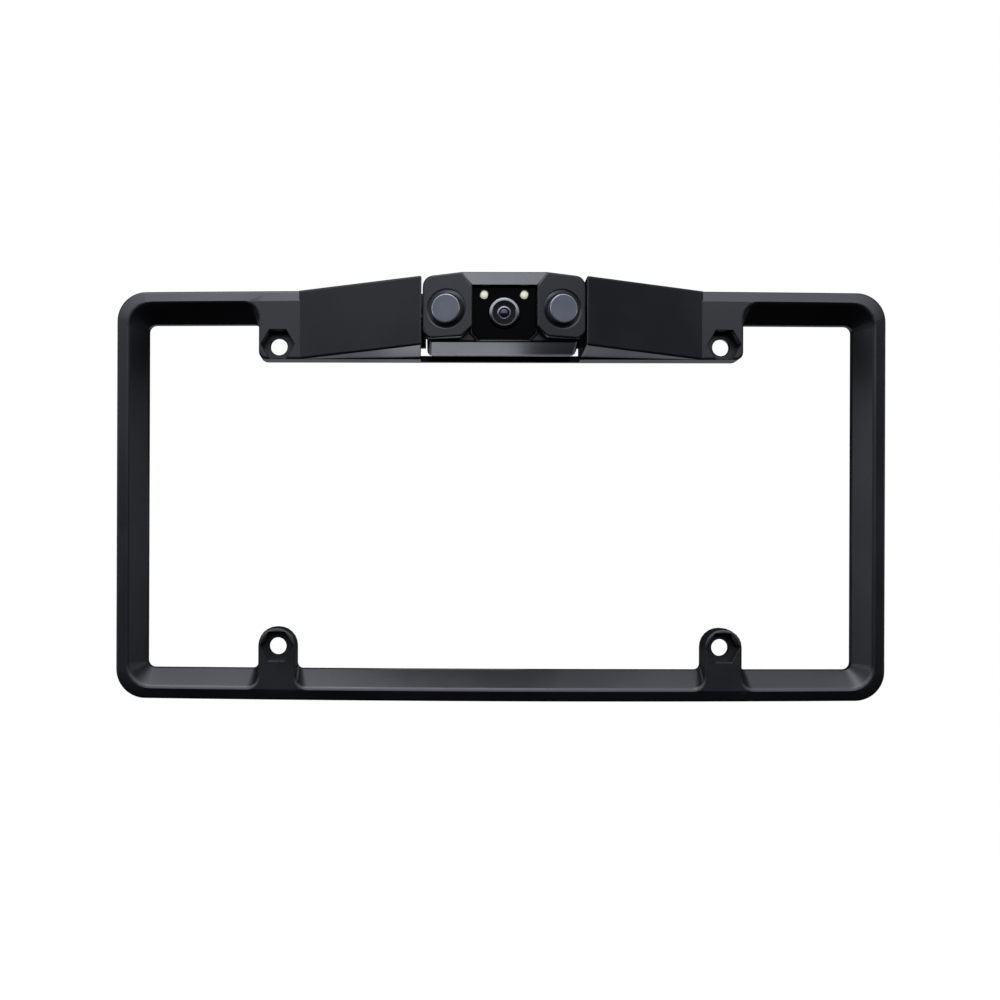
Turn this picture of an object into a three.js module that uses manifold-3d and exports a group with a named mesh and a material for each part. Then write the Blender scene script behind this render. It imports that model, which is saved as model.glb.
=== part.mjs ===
// A licence-plate frame with a reversing camera and two parking sensors in a tilting module.
// Millimetres. X points right, Y to the rear and Z up. The plate stands behind the plane y = 0,
// and the origin is the middle of its four bolts. "Depth" counts forward from that plane (-Y).
import * as THREE from "three";
import { mergeVertices } from "three/addons/utils/BufferGeometryUtils.js";
import Module from "manifold-3d";

// Plate bolts: the standard pattern for a 12 in by 6 in plate.
const BOLT = { x: 88.9, z: 60.325, hole: 3.4, hexFlats: 11.4, seat: 3 };
const BOSS_RADIUS = 8.3;

// Frame: outer outline, the ridge where the front land ends, and the edge of the opening.
const WALL = 2.3;
const FRAME = { x: 153.25, z: 81.1, corner: 11.5, crown: 0.9, depth: 11, softEdge: 1 };
const RIDGE = { x: 148.3, z: 76.4, corner: 9.5, crown: 0.9 };
const OPENING = { x: 141.4, z: 68.9, corner: 2.6, crown: 0.4, depth: 3 };
const TOP_BAR = { x: 96.4, bottom: 54.3, depth: 11, chamferX: 2.4, chamferZ: 3.2 };
const TAB = { halfWidth: 7.9, depth: 11 };

// Wings: they rise from the top bar to the bay where the module sits.
const WING = { outer: 80, inner: 31.8, depth: 34.8, bottom: 56.7, top: 83.5, endWall: 2.5 };
const WING_ROOT_TOP = 81.75;
const BAY = { railTop: 56.8, railDepth: 2.5, topRail: 78.6, topRailDepth: 2.2, flangeX: 29.6, flangeZ: 60 };

// Module: a barrel on the tilt axis with a block in front. Its parts are placed from the axis.
const AXIS = { depth: 17, z: 69.8 };
const BARREL = { radius: 14.8, halfLength: 29.25, wall: 2, split: -4 };
const POD = { inner: 12.4, outer: 31.3, corner: 4, back: 5.2, front: 22, yaw: 13 };
const POD_TOP = { outerZ: 13.25, innerX: 16.4, innerZ: 14.4, foot: 9.2 };
const POD_BOTTOM = { outerZ: -10.8, innerX: 16.3, innerZ: -10.2, foot: -6.5 };
const POD_WALL = 2.2;
const BROW = { topHalf: 16.5, bottomHalf: 12.5, top: 14.5, bottom: 9.2, topFront: 19.2 };
const WINDOW = { halfWidth: 12.2, bottom: -11.3, top: 9.1, back: 16.6, front: 18.6, corner: 3 };
const NOSE = { halfWidth: 13.5, bottom: -11.3, front: 16.4 };
const CHIN = { halfWidth: 28.8, backDepth: 3.4, backZ: -14.35 };
const LENS_Z = -0.9;
const LENS_RADIUS = 5.8;
const LED = { x: 7.7, z: 6.2, radius: 1.55 };
const SENSOR = { x: 22.35, z: 0.5, cup: 5.5, proud: 1.6, bore: 6.8 };
const DISH = { rim: 7.5, floor: 6, depth: 1, lip: 1.4 };
const PIVOT = { screw: 1.5, hole: 1.75, boss: 3.6, insert: 2.4 };
const HOUSING_SCREW = { x: 22, z: 10.2, boss: 2.9, seat: -6.3 };
const BOARD = { halfX: 18, halfZ: 8.4, back: -9.1, front: -7.5, screwX: 15.5 };
const GROMMET = { x: 22.5, hole: 3.2 };

const CORNER_STEPS = 6;
const EDGE_STEPS = 8;
const degrees = THREE.MathUtils.degToRad;

// ---- Finishes ----
const finish = (color, roughness, metalness = 0) =>
  () => new THREE.MeshStandardMaterial({ color, roughness, metalness });
const FINISH = {
  plastic: finish(0x2a2b2e, 0.5),
  gloss: finish(0x08080a, 0.08),
  rubber: finish(0x17181a, 0.8),
  sensorFace: finish(0x3a3d44, 0.55),
  steel: finish(0xb4b6b8, 0.35, 1),
  brass: finish(0xb58b45, 0.35, 1),
  glass: finish(0x1b2233, 0.05),
  board: finish(0x1d4a2e, 0.5),
  chip: finish(0x151517, 0.5),
  led: finish(0xf4efdc, 0.25),
  ribbon: finish(0xa86a2a, 0.5),
  lead: finish(0x6b1f1f, 0.6),
  socket: finish(0xd9d6cb, 0.55),
};

// ---- Joining and cutting closed solids ----
const wasm = await Module();
wasm.setup();

function solidOf(geometry) {
  const bare = geometry.clone();
  bare.deleteAttribute("normal");
  bare.deleteAttribute("uv");
  const merged = mergeVertices(bare, 1e-4);
  const vertProperties = merged.attributes.position.array;
  const triVerts = new Uint32Array(merged.index.array);
  const made = new wasm.Manifold(new wasm.Mesh({ numProp: 3, vertProperties, triVerts }));
  if (made.volume() > 0) return made;
  for (let i = 0; i < triVerts.length; i += 3) {
    [triVerts[i + 1], triVerts[i + 2]] = [triVerts[i + 2], triVerts[i + 1]];
  }
  return new wasm.Manifold(new wasm.Mesh({ numProp: 3, vertProperties, triVerts }));
}

function geometryOf(solid) {
  const mesh = solid.getMesh();
  const geometry = new THREE.BufferGeometry();
  geometry.setAttribute("position", new THREE.BufferAttribute(mesh.vertProperties, 3));
  geometry.setIndex(new THREE.BufferAttribute(mesh.triVerts, 1));
  geometry.computeVertexNormals();
  return geometry;
}

function combine(how, first, others) {
  let result = solidOf(first);
  for (const other of others) result = result[how](solidOf(other));
  return geometryOf(result);
}
const join = (first, ...others) => combine("add", first, others);
const cut = (first, ...others) => combine("subtract", first, others);
const common = (first, ...others) => combine("intersect", first, others);

// ---- Shapes ----
// A box by its limits in X, depth and Z.
function block(x0, x1, d0, d1, z0, z1) {
  return new THREE.BoxGeometry(x1 - x0, d1 - d0, z1 - z0)
    .translate((x0 + x1) / 2, -(d0 + d1) / 2, (z0 + z1) / 2);
}

// An outline in X and Z, extruded forward from depth d0 to d1.
function prism(outline, d0, d1) {
  return new THREE.ExtrudeGeometry(new THREE.Shape(outline), { depth: d1 - d0, bevelEnabled: false })
    .translate(0, 0, d0)
    .rotateX(Math.PI / 2);
}

function rodForward(radius, d0, d1, x, z, sides = 24) {
  return new THREE.CylinderGeometry(radius, radius, d1 - d0, sides).translate(x, -(d0 + d1) / 2, z);
}

function rodAcross(radius, x0, x1, sides = 24) {
  return new THREE.CylinderGeometry(radius, radius, x1 - x0, sides)
    .rotateZ(Math.PI / 2)
    .translate((x0 + x1) / 2, 0, 0);
}

// A profile of [radius, depth] pairs, turned about the depth axis.
function turned(profile, sides = 24) {
  const points = profile.map(([radius, depth]) => new THREE.Vector2(radius, depth));
  return new THREE.LatheGeometry(points, sides).rotateX(Math.PI);
}

// A rounded rectangle whose long edges bow out by the crown.
function roundedOutline(halfX, halfZ, radius, crown = 0) {
  const points = [];
  const quarter = (signX, signZ, start) => {
    for (let i = 0; i <= CORNER_STEPS; i++) {
      const angle = degrees(start + (90 * i) / CORNER_STEPS);
      const x = signX * (halfX - radius) + radius * Math.cos(angle);
      points.push(new THREE.Vector2(x, signZ * (halfZ - radius) + radius * Math.sin(angle)));
    }
  };
  const longEdge = (signZ) => {
    for (let i = 1; i < EDGE_STEPS; i++) {
      const x = signZ * (halfX - radius) * (1 - (2 * i) / EDGE_STEPS);
      points.push(new THREE.Vector2(x, signZ * halfZ));
    }
  };
  quarter(1, 1, 0);
  longEdge(1);
  quarter(-1, 1, 90);
  quarter(-1, -1, 180);
  longEdge(-1);
  quarter(1, -1, 270);
  for (const p of points) p.y += Math.sign(p.y) * crown * (1 - (p.x / halfX) ** 2);
  return points;
}

// A closed outline through corners of [x, z, radius].
function roundedPolygon(corners) {
  const points = [];
  corners.forEach(([x, z, radius], i) => {
    const here = new THREE.Vector2(x, z);
    if (!radius) return points.push(here);
    const toward = (j) => new THREE.Vector2(...corners.at(j % corners.length)).sub(here).normalize();
    const before = toward(i - 1);
    const after = toward(i + 1);
    const half = before.angleTo(after) / 2;
    const centre = before.clone().add(after).setLength(radius / Math.sin(half)).add(here);
    const start = before.clone().multiplyScalar(radius / Math.tan(half)).add(here).sub(centre);
    const turn = (Math.PI - 2 * half) * -Math.sign(before.cross(after));
    for (let k = 0; k <= CORNER_STEPS; k++) {
      const step = start.clone().rotateAround(new THREE.Vector2(), (turn * k) / CORNER_STEPS);
      points.push(step.add(centre));
    }
  });
  return points;
}

// Puts an outline at a depth, which may be a number or a function of X and Z.
function atDepth(outline, depth) {
  return outline.map(({ x, y: z }) => new THREE.Vector3(x, -(depth.call ? depth(x, z) : depth), z));
}

// A closed solid through rings of equal count.
function loft(rings) {
  const count = rings[0].length;
  const positions = rings.flat();
  const index = [];
  for (let ring = 0; ring + 1 < rings.length; ring++) {
    for (let i = 0; i < count; i++) {
      const a = ring * count + i;
      const b = ring * count + ((i + 1) % count);
      index.push(a, b, b + count, a, b + count, a + count);
    }
  }
  const close = (ring, first, flip) => {
    const centre = new THREE.Vector3();
    for (const p of ring) centre.addScaledVector(p, 1 / count);
    const middle = positions.push(centre) - 1;
    for (let i = 0; i < count; i++) {
      const a = first + i;
      const b = first + ((i + 1) % count);
      index.push(middle, ...(flip ? [b, a] : [a, b]));
    }
  };
  close(rings[0], 0, true);
  close(rings.at(-1), (rings.length - 1) * count, false);
  return new THREE.BufferGeometry().setFromPoints(positions).setIndex(index);
}

const BOTH = { left: -1, right: 1 };

// ---- Plate frame ----
function frameRing(size, grow, depth) {
  const radius = Math.max(size.corner + grow, 0.5);
  return atDepth(roundedOutline(size.x + grow, size.z + grow, radius, size.crown), depth);
}

function frameOutside() {
  const { depth, softEdge } = FRAME;
  return loft([
    frameRing(FRAME, 0, 0),
    frameRing(FRAME, 0, depth - softEdge),
    frameRing(FRAME, -softEdge, depth),
  ]);
}

function plateOpening() {
  return loft([
    frameRing(OPENING, 0, -1),
    frameRing(OPENING, 0, OPENING.depth),
    frameRing(RIDGE, 0, FRAME.depth),
    frameRing(RIDGE, 0, FRAME.depth + 2),
  ]);
}

// The hollow behind the land and the slope, one wall thick all round. The bay stays solid.
function rearChannel() {
  const sideways = WALL * 0.74;
  const back = WALL * 0.67;
  const core = loft([
    frameRing(OPENING, WALL, -2),
    frameRing(OPENING, sideways, OPENING.depth - back),
    frameRing(RIDGE, sideways, FRAME.depth - back),
  ]);
  const outer = loft([frameRing(FRAME, -WALL, -1), frameRing(FRAME, -WALL, FRAME.depth - WALL)]);
  const bayWalls = WING.inner + WING.endWall;
  return cut(outer, core, block(-bayWalls, bayWalls, -2, FRAME.depth, 50, 90));
}

function topBar() {
  const { x, bottom, depth, chamferX, chamferZ } = TOP_BAR;
  const outline = [
    [-x, RIDGE.z], [-x, bottom + chamferZ], [-x + chamferX, bottom],
    [x - chamferX, bottom], [x, bottom + chamferZ], [x, RIDGE.z],
  ];
  return prism(outline.map((p) => new THREE.Vector2(...p)), 0, depth);
}

// A wing, or its hollow when inset, as a loft from the bay out to the bar.
function wing(side, inset) {
  const slope = (WING.depth - TOP_BAR.depth) / (WING.outer - WING.inner);
  const section = (x, bottom, top) => {
    const depth = TOP_BAR.depth + (WING.outer - x) * slope - inset * 1.1;
    return [
      [-inset, TOP_BAR.bottom + inset], [depth, bottom + inset],
      [depth, top - inset], [-inset, WING_ROOT_TOP - inset],
    ].map(([d, z]) => new THREE.Vector3(side * x, -d, z));
  };
  const innerX = inset ? WING.inner + WING.endWall : WING.inner;
  return loft([
    section(innerX, WING.bottom, WING.top),
    section(WING.outer, TOP_BAR.bottom, WING_ROOT_TOP),
  ]);
}

function barHollow(side) {
  const x0 = side * (WING.outer - 0.5);
  const x1 = side * (TOP_BAR.x - WALL);
  const bottom = TOP_BAR.bottom + WALL;
  return block(Math.min(x0, x1), Math.max(x0, x1), -1, TOP_BAR.depth - WALL, bottom, FRAME.z - WALL);
}

function bottomTab(x) {
  const { halfWidth, depth } = TAB;
  const outline = new THREE.Shape();
  outline.moveTo(x - halfWidth, -RIDGE.z);
  outline.lineTo(x + halfWidth, -RIDGE.z);
  outline.absarc(x, -BOLT.z, halfWidth, 0, Math.PI, false);
  return new THREE.ExtrudeGeometry(outline, { depth, bevelEnabled: false, curveSegments: 16 })
    .rotateX(Math.PI / 2);
}

function hexPocket(x, z) {
  const radius = BOLT.hexFlats / 2 / Math.cos(degrees(30));
  return new THREE.CylinderGeometry(radius, radius, 20, 6)
    .rotateY(degrees(30))
    .translate(x, -(BOLT.seat + 10), z);
}

// Stiffening ribs across the rear channel and the wings.
function frameRibs() {
  const half = 0.8;
  const ribs = [];
  for (const side of [-1, 1]) {
    for (const x of [40, 120]) {
      ribs.push(block(side * x - half, side * x + half, 0.6, FRAME.depth, -83, -OPENING.z));
    }
    ribs.push(block(side * 120 - half, side * 120 + half, 0.6, FRAME.depth, OPENING.z, 83));
    for (const z of [-34, 0, 34]) {
      const x = side * (OPENING.x + 7);
      ribs.push(block(x - 7, x + 6, 0.6, FRAME.depth, z - half, z + half));
    }
    for (const x of [48, 64]) {
      ribs.push(block(side * x - half, side * x + half, 5, 40, TOP_BAR.bottom, WING.top));
    }
  }
  return ribs;
}

function plateFrame() {
  const sides = Object.values(BOTH);
  const bolts = sides.flatMap((side) => [1, -1].map((up) => [side * BOLT.x, up * BOLT.z]));
  const tabs = sides.map((side) => bottomTab(side * BOLT.x));
  const ring = cut(frameOutside(), plateOpening());
  const wings = sides.map((side) => wing(side, 0));
  const { inner } = WING;
  const bay = join(
    block(-inner, inner, BAY.topRailDepth, 50, BAY.railTop, 90),
    block(-inner, inner, -1, 50, BAY.railTop, BAY.flangeZ),
    block(-BAY.flangeX, BAY.flangeX, -1, 50, BAY.railTop, BAY.topRail),
    block(-inner, inner, BAY.railDepth, 50, BAY.railTop, BAY.topRail),
    block(-inner, inner, BAY.railDepth, 50, 40, BAY.railTop + 1),
  );
  const outside = cut(join(ring, topBar(), ...wings, ...tabs), bay);
  const hollow = join(rearChannel(), ...sides.flatMap((side) => [wing(side, WALL), barHollow(side)]));
  const bosses = bolts.map(([x, z]) => rodForward(BOSS_RADIUS, 0, TOP_BAR.depth, x, z, 32));
  const kept = [...bosses, ...tabs, ...frameRibs()].map((piece) => common(piece, outside));
  const holes = bolts.map(([x, z]) => rodForward(BOLT.hole, -1, 20, x, z));
  const pockets = bolts.map(([x, z]) => hexPocket(x, z));
  const pivots = sides.map((side) => {
    const ends = [side * (inner - 1), side * (inner + 4)].sort((a, b) => a - b);
    return rodAcross(PIVOT.hole, ...ends).translate(0, -AXIS.depth, AXIS.z);
  });
  return cut(join(cut(outside, hollow), ...kept), ...holes, ...pockets, ...pivots);
}

// ---- Module housing ----
const podFace = (x) => POD.front - (Math.abs(x) - POD.inner) * Math.tan(degrees(POD.yaw));

// The pod's outline: its inner corners are cut away towards the window.
function podOutline(outer) {
  return roundedPolygon([
    [POD.inner, POD_TOP.foot, 0], [POD.inner, POD_BOTTOM.foot, 0],
    [POD_BOTTOM.innerX, POD_BOTTOM.innerZ, 0], [outer, POD_BOTTOM.outerZ, POD.corner],
    [outer, POD_TOP.outerZ, POD.corner], [POD_TOP.innerX, POD_TOP.innerZ, 0],
  ]);
}

function pod(side) {
  const ring = (outer, depth) => atDepth(podOutline(outer), depth);
  const { back, outer } = POD;
  return loft([ring(BARREL.halfLength, back), ring(outer, back + 4), ring(outer, podFace)])
    .scale(side, 1, 1);
}

function brow() {
  const outline = [
    [BROW.topHalf, BROW.top], [-BROW.topHalf, BROW.top],
    [-BROW.bottomHalf, BROW.bottom], [BROW.bottomHalf, BROW.bottom],
  ].map((p) => new THREE.Vector2(...p));
  const front = (x, z) => (z > BROW.bottom ? BROW.topFront : POD.front);
  return loft([atDepth(outline, 0), atDepth(outline, front)]);
}

// The sloped underside that runs from the block's front down to the barrel, the whole width.
function chin() {
  const { halfWidth, backDepth, backZ } = CHIN;
  const section = [[0, 0], [backDepth, backZ], [NOSE.front, NOSE.bottom], [NOSE.front, 0]];
  const ends = [-halfWidth, halfWidth];
  return loft(ends.map((x) => section.map(([depth, z]) => new THREE.Vector3(x, -depth, z))));
}

function barrel(radius, halfLength) {
  return rodAcross(radius, -halfLength, halfLength, 48);
}

// Everything behind, or in front of, the split plane.
function partition(front) {
  const gap = 0.05;
  return front ? block(-40, 40, BARREL.split + gap, 40, -30, 30)
    : block(-40, 40, -40, BARREL.split - gap, -30, 30);
}

function sealRing(clearance) {
  const half = 0.55 + clearance;
  const slice = (x, z) => block(-x, x, BARREL.split - half, BARREL.split + half, -z, z);
  return cut(slice(28.6 + clearance, 13.5 + clearance), slice(27.9 - clearance, 12.9 - clearance));
}

function housingBosses(radius, d0, d1) {
  const { x, z } = HOUSING_SCREW;
  return [-x, x].flatMap((bx) => [-z, z].map((bz) => rodForward(radius, d0, d1, bx, bz, 16)));
}

function sensorPlaced(geometry, side) {
  return geometry.rotateZ(degrees(side * POD.yaw)).translate(side * SENSOR.x, -podFace(SENSOR.x), SENSOR.z);
}

function sensorDish() {
  const { rim, floor, depth, lip } = DISH;
  const proud = 0.3;
  const past = rim + ((rim - floor) * proud) / depth;
  return turned([[0, -lip - 1], [floor, -lip - 1], [floor, -depth], [past, proud], [past, 4], [0, 4]], 32);
}

function frontHousing() {
  const sides = Object.values(BOTH);
  const { radius, halfLength, wall, split } = BARREL;
  const nose = block(-NOSE.halfWidth, NOSE.halfWidth, 0, NOSE.front, NOSE.bottom, BROW.top);
  const outside = join(barrel(radius, halfLength), nose, chin(), brow(), ...sides.map(pod));
  const podHollows = sides.map((side) => {
    const ends = [side * 11, side * 28].sort((a, b) => a - b);
    return block(...ends, 5, 14, POD_BOTTOM.innerZ + POD_WALL, POD_TOP.outerZ - POD_WALL);
  });
  const hollow = join(
    barrel(radius - wall, halfLength - wall),
    block(-11.2, 11.2, -5, NOSE.front - wall, NOSE.bottom + 2.4, BROW.top - 2.4),
    ...podHollows,
  );
  const pivotBosses = sides.map((side) => {
    const ends = [side * 23, side * 28].sort((a, b) => a - b);
    return rodAcross(PIVOT.boss, ...ends);
  });
  const insertPockets = sides.map((side) => {
    const ends = [side * 24.4, side * 30].sort((a, b) => a - b);
    return rodAcross(PIVOT.insert + 0.15, ...ends);
  });
  const screwBosses = housingBosses(HOUSING_SCREW.boss, split, 3.5).map((b) => common(b, outside));
  const sensorHoles = sides.flatMap((side) => [
    sensorPlaced(sensorDish(), side),
    sensorPlaced(rodForward(SENSOR.bore, -9, -DISH.lip, 0, 0, 32), side),
  ]);
  const lensHole = rodForward(LENS_RADIUS + 0.2, 10, 30, 0, LENS_Z, 28);
  const ledHoles = sides.map((side) => rodForward(LED.radius + 0.25, 10, 30, side * LED.x, LED.z));
  const body = join(cut(outside, hollow), ...pivotBosses, ...screwBosses);
  const pilots = housingBosses(1.35, split - 1, 3);
  const drilled = cut(body, lensHole, ...ledHoles, ...sensorHoles, ...insertPockets, ...pilots);
  return common(cut(drilled, sealRing(0.1)), partition(true));
}

function rearHousing() {
  const { radius, halfLength, wall, split } = BARREL;
  const outside = barrel(radius, halfLength);
  const shell = cut(outside, barrel(radius - wall, halfLength - wall));
  const bosses = housingBosses(HOUSING_SCREW.boss, -14, split);
  for (const side of Object.values(BOTH)) {
    bosses.push(rodForward(2.5, -14, BOARD.back - 0.1, side * BOARD.screwX, 0));
  }
  const body = join(shell, ...bosses.map((boss) => common(boss, outside)));
  const boardPilots = Object.values(BOTH).map((side) => rodForward(1.2, -12.5, -5, side * BOARD.screwX, 0));
  const holes = [
    ...housingBosses(1.45, -20, 0),
    ...housingBosses(2.4, -20, HOUSING_SCREW.seat),
    ...boardPilots,
    rodForward(GROMMET.hole, -20, -10, GROMMET.x, 0),
  ];
  return common(cut(body, ...holes, sealRing(0.1)), partition(false));
}

// ---- Screws, inserts, washers and the grommet ----
// A pan-head screw along the depth axis with a cross recess; its head seats at depth 0.
function panScrew(shankRadius, shankLength, headRadius, headHeight) {
  const body = turned([
    [0, shankLength], [shankRadius * 0.6, shankLength], [shankRadius, shankLength - 0.6],
    [shankRadius, 0], [headRadius, 0], [headRadius, -headHeight * 0.5],
    [headRadius * 0.6, -headHeight], [0, -headHeight],
  ], 12);
  const arm = headRadius * 0.55;
  const slots = [[arm, 0.25], [0.25, arm]].map(([x, z]) => block(-x, x, -9, -headHeight * 0.4, -z, z));
  return cut(body, ...slots);
}

function insertSleeve() {
  return turned([
    [1.7, -2.2], [2.4, -2.2], [2.4, -0.4], [2.1, -0.2], [2.1, 0.2], [2.4, 0.4],
    [2.4, 2.2], [1.7, 2.2], [1.7, -2.2],
  ], 16).rotateZ(Math.PI / 2);
}

function frictionWasher() {
  return turned([[1.9, -1], [4.5, -1], [4.5, 1], [1.9, 1], [1.9, -1]], 28).rotateZ(Math.PI / 2);
}

function grommet() {
  return turned([
    [2, -16.2], [3.6, -16.2], [4.4, -15.6], [4.4, -15.05], [3, -15.05], [3, -11.8],
    [4.2, -11.8], [3.6, -10.8], [2, -10.8], [2, -16.2],
  ], 20);
}

// ---- Camera ----
function cameraWindow() {
  const { halfWidth, bottom, top, back, front, corner } = WINDOW;
  const outline = [
    [halfWidth, top], [-halfWidth, top], [-halfWidth, bottom + corner],
    [-halfWidth + corner, bottom], [halfWidth - corner, bottom], [halfWidth, bottom + corner],
  ];
  const pane = prism(outline.map((p) => new THREE.Vector2(...p)), back, front);
  const lensHole = rodForward(LENS_RADIUS + 0.2, 10, 30, 0, LENS_Z, 28);
  const ledHoles = [-1, 1].map((side) => rodForward(LED.radius + 0.2, 10, 30, side * LED.x, LED.z));
  return cut(pane, lensHole, ...ledHoles);
}

function lensBarrel() {
  return turned([
    [2.2, 10.6], [3.4, 10.6], [3.4, 7.8], [4.4, 7.8], [4.4, 12.6], [LENS_RADIUS, 12.6],
    [LENS_RADIUS, 19], [LENS_RADIUS - 0.4, 19.4], [5.2, 19.4], [5.2, 17.4], [4.3, 17.4],
    [4.3, 14.2], [2.2, 14.2], [2.2, 10.6],
  ], 28);
}

function retainingRing() {
  return turned([[3.7, 17.6], [5, 17.6], [5, 18.9], [4.4, 18.9], [3.7, 17.9], [3.7, 17.6]], 28);
}

function dome(radius, back, rim, peak, sides) {
  const arc = [];
  for (let i = 0; i <= 6; i++) {
    const angle = degrees(15 * i);
    arc.push([radius * Math.cos(angle), rim + (peak - rim) * Math.sin(angle)]);
  }
  arc[6][0] = 0;
  return turned([[0, back], [radius, back], ...arc], sides);
}

function lensHolder() {
  const body = block(-6.5, 6.5, 6.3, 12.4, LENS_Z - 6.5, LENS_Z + 6.5);
  return cut(body, rodForward(4.7, 0, 20, 0, LENS_Z));
}

// ---- Sensors ----
function sensorCup() {
  const { cup, proud } = SENSOR;
  return turned([
    [0, 0.6], [cup - 0.8, 0.6], [cup - 0.8, -7], [cup, -7], [cup, proud - 0.4],
    [cup - 0.4, proud], [0, proud],
  ], 28);
}

function sensorSleeve() {
  return turned([[5.7, -5.5], [6.6, -5.5], [6.6, -1.5], [5.7, -1.5], [5.7, -5.5]], 28);
}

function sensorLead(side) {
  const route = [
    [21.6, 11, 0.5], [20, 8.4, 1.2], [16.5, 4.5, 3.4], [12.4, 0.6, 5.2], [11, -2.4, 5.5], [11, -4.7, 5.5],
  ].map(([x, depth, z]) => new THREE.Vector3(side * x, -depth, z));
  const section = new THREE.Shape();
  section.absarc(0, 0, 0.8, 0, 2 * Math.PI, false);
  return new THREE.ExtrudeGeometry(section, {
    steps: 14,
    curveSegments: 4,
    bevelEnabled: false,
    extrudePath: new THREE.CatmullRomCurve3(route),
  });
}

// ---- Boards ----
function mainBoard() {
  const { halfX, halfZ, back, front, screwX } = BOARD;
  const holes = [-1, 1].map((side) => rodForward(1.3, -12, 0, side * screwX, 0, 16));
  return cut(block(-halfX, halfX, back, front, -halfZ, halfZ), ...holes);
}

function cameraRibbon() {
  const outline = [];
  const steps = 12;
  const along = (i) => [2.8 - 8.05 * (i / steps), -5.2 - 1.8 * Math.sin((Math.PI * i) / steps)];
  for (let i = 0; i <= steps; i++) outline.push(along(i).map((v, axis) => v + (axis ? 0.15 : 0)));
  for (let i = steps; i >= 0; i--) outline.push(along(i).map((v, axis) => v - (axis ? 0.15 : 0)));
  const across = new THREE.Matrix4().makeBasis(
    new THREE.Vector3(0, -1, 0), new THREE.Vector3(0, 0, 1), new THREE.Vector3(-1, 0, 0),
  );
  const shape = new THREE.Shape(outline.map((p) => new THREE.Vector2(...p)));
  return new THREE.ExtrudeGeometry(shape, { depth: 8, bevelEnabled: false })
    .translate(0, 0, -4)
    .applyMatrix4(across);
}

// ---- Assembly ----
const group = new THREE.Group();
const cameraModule = new THREE.Group();
cameraModule.position.set(0, -AXIS.depth, AXIS.z);
group.add(cameraModule);

function add(name, geometry, material, parent = cameraModule, place = [0, 0, 0]) {
  const mesh = new THREE.Mesh(geometry, material());
  mesh.name = name;
  mesh.position.set(...place);
  parent.add(mesh);
  return mesh;
}

add("plate_frame", plateFrame(), FINISH.plastic, group);
add("front_housing", frontHousing(), FINISH.plastic);
add("rear_housing", rearHousing(), FINISH.plastic);
add("housing_seal", sealRing(0), FINISH.rubber);
add("camera_window", cameraWindow(), FINISH.gloss);
add("cable_grommet", grommet(), FINISH.rubber, cameraModule, [GROMMET.x, 0, 0]);

const onLensAxis = [0, 0, LENS_Z];
add("lens_barrel", lensBarrel(), FINISH.gloss, cameraModule, onLensAxis);
add("lens_retaining_ring", retainingRing(), FINISH.chip, cameraModule, onLensAxis);
add("front_lens", dome(4.1, 14.4, 16.6, 18.6, 24), FINISH.glass, cameraModule, onLensAxis);
add("rear_lens", dome(3.2, 8.2, 9.2, 10.3, 16), FINISH.glass, cameraModule, onLensAxis);
add("lens_holder", lensHolder(), FINISH.chip);
add("image_sensor", block(-3.1, 3.1, 6.3, 7.2, LENS_Z - 3.1, LENS_Z + 3.1), FINISH.chip);
add("camera_board", block(-9.5, 9.5, 5, 6.2, LENS_Z - 9.5, LENS_Z + 9.5), FINISH.board);
add("led_board", block(-10.6, 10.6, 12.7, 13.9, 5.2, 9), FINISH.board);
add("main_board", mainBoard(), FINISH.board);
add("processor_chip", block(-4, 4, -7.4, -6.2, -1.5, 6.5), FINISH.chip);
add("ribbon_socket_main", block(-4.6, 4.6, -7.4, -5.35, -6.4, -4), FINISH.socket);
add("ribbon_socket_camera", block(-4.6, 4.6, 2.9, 4.9, -6.4, -4), FINISH.socket);
add("camera_ribbon", cameraRibbon(), FINISH.ribbon);

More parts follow.
